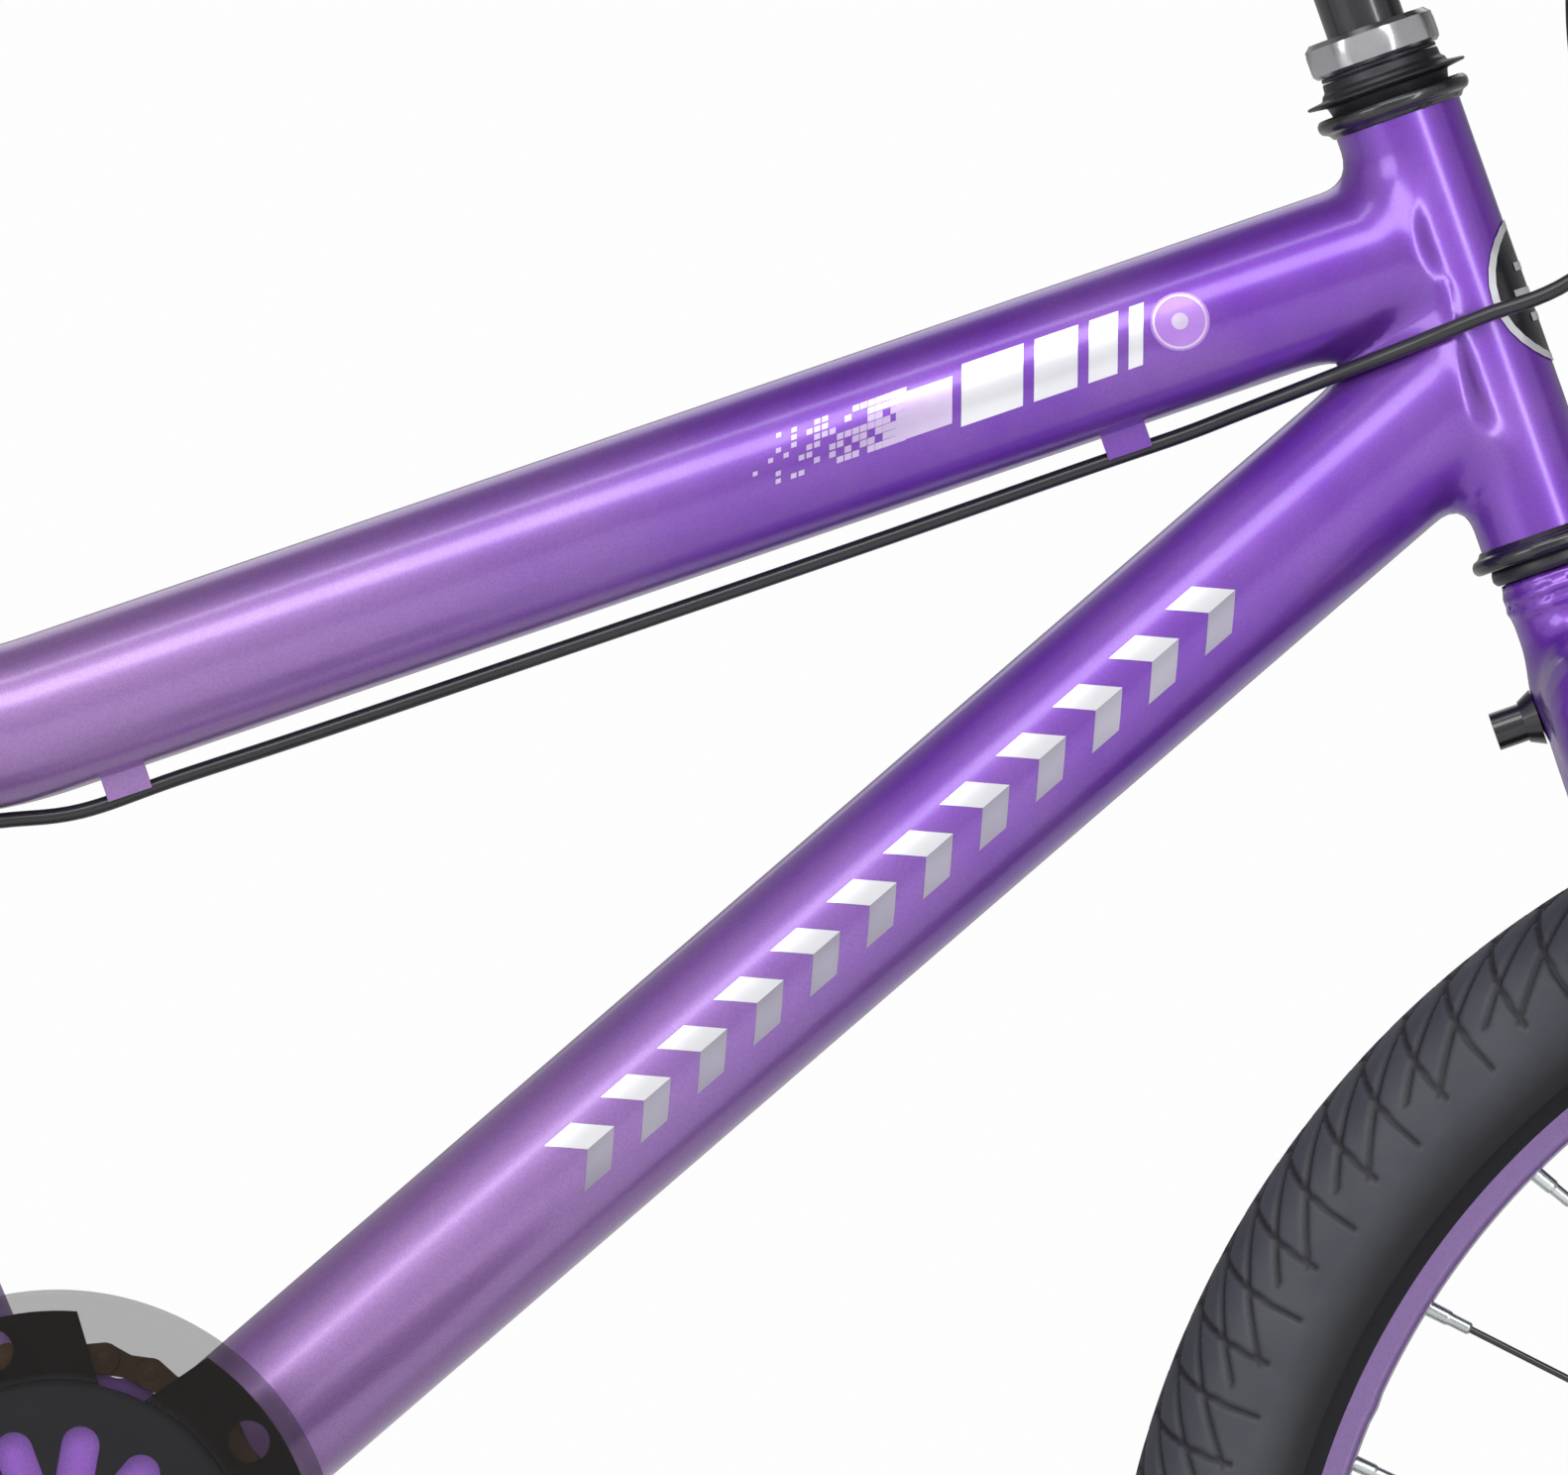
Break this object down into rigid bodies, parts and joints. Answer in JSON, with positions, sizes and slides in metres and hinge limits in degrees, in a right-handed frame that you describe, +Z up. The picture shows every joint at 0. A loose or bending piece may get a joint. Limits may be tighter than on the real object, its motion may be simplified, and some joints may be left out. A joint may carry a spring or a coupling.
{
  "type": "bmx bike",
  "caption": "Small-wheeled steel bmx bike with high-rise handlebar, quill stem, rim brakes, one-piece crank with clear chain guard and padded saddle.",
  "frame": {"origin": "on the ground, midway between the two axles, in the centre plane", "axes": "+X forward, +Y to the rider's left, +Z up"},
  "size_m": [1.4077, 0.6714, 0.9495],
  "materials": {
    "violet_paint": "gloss",
    "rim_paint": "satin",
    "black_steel": "gloss",
    "black_alloy": "satin",
    "dark_chrome": "polished",
    "bright_steel": "satin",
    "chain_steel": "satin",
    "tyre_rubber": "matte",
    "black_rubber": "matte",
    "cable_jacket": "satin",
    "smoked_plastic": "gloss",
    "black_plastic": "satin",
    "saddle_cover": "satin"
  },
  "bodies": {
    "frame": {"head_tube": "violet_paint", "top_tube": "violet_paint", "down_tube": "violet_paint", "seat_tube": "violet_paint", "bottom_bracket_shell": "violet_paint", "chain_stays": "violet_paint", "seat_stays": "violet_paint", "cable_guides": "violet_paint", "headset_cups": "black_steel", "bearing_balls": "bright_steel", "bottom_bracket_cups": "black_steel", "seat_clamp": "black_steel", "rear_axle": "bright_steel", "rear_brake_bolt": "black_steel", "rear_brake_cable": "cable_jacket", "chain": "chain_steel"},
    "steering": {"steerer_tube": "violet_paint", "fork_legs": "violet_paint", "headset_races": "black_steel", "keyed_washer": "black_steel", "headset_locknut": "dark_chrome", "stem": "black_alloy", "stem_face_plate": "black_alloy", "stem_hardware": "bright_steel", "handlebar": "black_steel", "grips": "black_rubber", "front_axle": "bright_steel", "lever_perches": "black_alloy", "front_brake_bolt": "black_steel", "front_brake_cable": "cable_jacket"},
    "front_wheel": {"front_tyre": "tyre_rubber", "front_inner_tube": "black_rubber", "front_rim": "rim_paint", "front_spokes": "bright_steel", "front_hub": "black_steel"},
    "rear_wheel": {"rear_tyre": "tyre_rubber", "rear_inner_tube": "black_rubber", "rear_rim": "rim_paint", "rear_spokes": "bright_steel", "rear_hub": "black_steel"},
    "freewheel": {"freewheel": "chain_steel"},
    "crank": {"crank_arms": "black_steel", "crank_cones": "bright_steel", "chainring": "violet_paint", "chain_guard": "smoked_plastic", "guard_disc": "black_plastic", "pedal_spindles": "bright_steel"},
    "left_pedal": {"left_pedal": "black_plastic"},
    "right_pedal": {"right_pedal": "black_plastic"},
    "left_lever": {"left_brake_lever": "black_alloy"},
    "right_lever": {"right_brake_lever": "black_alloy"},
    "front_left_arm": {"front_brake_left_arm": "black_alloy"},
    "front_right_arm": {"front_brake_right_arm": "black_alloy"},
    "rear_left_arm": {"rear_brake_left_arm": "black_alloy"},
    "rear_right_arm": {"rear_brake_right_arm": "black_alloy"},
    "seat": {"seat_post": "black_steel", "saddle_clamp": "black_steel", "saddle_rails": "bright_steel", "saddle_base": "black_plastic", "saddle_cushion": "saddle_cover"}
  },
  "joints": [
    {"name": "steering", "type": "hinge", "parent": "frame", "child": "steering", "pos_m": [0.42217, 0, 0.24423], "axis": [-0.3313, 0, 0.9435], "range_deg": [-80, 80], "deforming": ["rear_brake_cable"]},
    {"name": "front_wheel_spin", "type": "hinge", "parent": "steering", "child": "front_wheel", "pos_m": [0.45, 0, 0.254], "axis": [0, 1, 0], "continuous": true},
    {"name": "rear_wheel_spin", "type": "hinge", "parent": "frame", "child": "rear_wheel", "pos_m": [-0.45, 0, 0.254], "axis": [0, 1, 0], "continuous": true},
    {"name": "crank_spin", "type": "hinge", "parent": "frame", "child": "crank", "pos_m": [-0.076, 0, 0.2927], "axis": [0, 1, 0], "continuous": true, "deforming": ["chain"]},
    {"name": "freewheel_spin", "type": "hinge", "parent": "frame", "child": "freewheel", "pos_m": [-0.45, 0, 0.254], "axis": [0, 1, 0], "continuous": true},
    {"name": "left_pedal_spin", "type": "hinge", "parent": "crank", "child": "left_pedal", "pos_m": [-0.221, 0.125, 0.2927], "axis": [0, 1, 0], "continuous": true},
    {"name": "right_pedal_spin", "type": "hinge", "parent": "crank", "child": "right_pedal", "pos_m": [0.069, -0.125, 0.2927], "axis": [0, 1, 0], "continuous": true},
    {"name": "left_lever_squeeze", "type": "hinge", "parent": "steering", "child": "left_lever", "pos_m": [0.3052, 0.172, 0.92599], "axis": [-0.0932, 0, 0.9956], "range_deg": [0, 14], "stiffness_Nm_per_rad": 1.5, "springref_deg": -22.92},
    {"name": "right_lever_squeeze", "type": "hinge", "parent": "steering", "child": "right_lever", "pos_m": [0.3052, -0.172, 0.92599], "axis": [0.0932, 0, -0.9956], "range_deg": [0, 14], "stiffness_Nm_per_rad": 1.5, "springref_deg": -22.92},
    {"name": "front_left_arm_swing", "type": "hinge", "parent": "steering", "child": "front_left_arm", "pos_m": [0.32518, 0, 0.52039], "axis": [0.9435, 0, 0.3313], "range_deg": [-1.3, 0]},
    {"name": "front_right_arm_swing", "type": "hinge", "parent": "steering", "child": "front_right_arm", "pos_m": [0.32518, 0, 0.52039], "axis": [0.9435, 0, 0.3313], "range_deg": [0, 1.3]},
    {"name": "rear_right_arm_swing", "type": "hinge", "parent": "frame", "child": "rear_right_arm", "pos_m": [-0.24126, 0, 0.42995], "axis": [-0.6445, 0, 0.7646], "range_deg": [-1.6, 0]},
    {"name": "rear_left_arm_swing", "type": "hinge", "parent": "frame", "child": "rear_left_arm", "pos_m": [-0.24126, 0, 0.42995], "axis": [-0.6445, 0, 0.7646], "range_deg": [0, 1.6]},
    {"name": "seat_height", "type": "slide", "parent": "frame", "child": "seat", "axis": [-0.3907, 0, 0.9205], "range_m": [-0.06, 0.025]}
  ],
  "couplings": [
    {"joint": "freewheel_spin", "follows": "crank_spin", "ratio": 1.75},
    {"joint": "front_left_arm_swing", "follows": "left_lever_squeeze", "ratio": -0.085714},
    {"joint": "front_right_arm_swing", "follows": "left_lever_squeeze", "ratio": 0.085714},
    {"joint": "rear_right_arm_swing", "follows": "right_lever_squeeze", "ratio": -0.10714},
    {"joint": "rear_left_arm_swing", "follows": "right_lever_squeeze", "ratio": 0.10714}
  ]
}
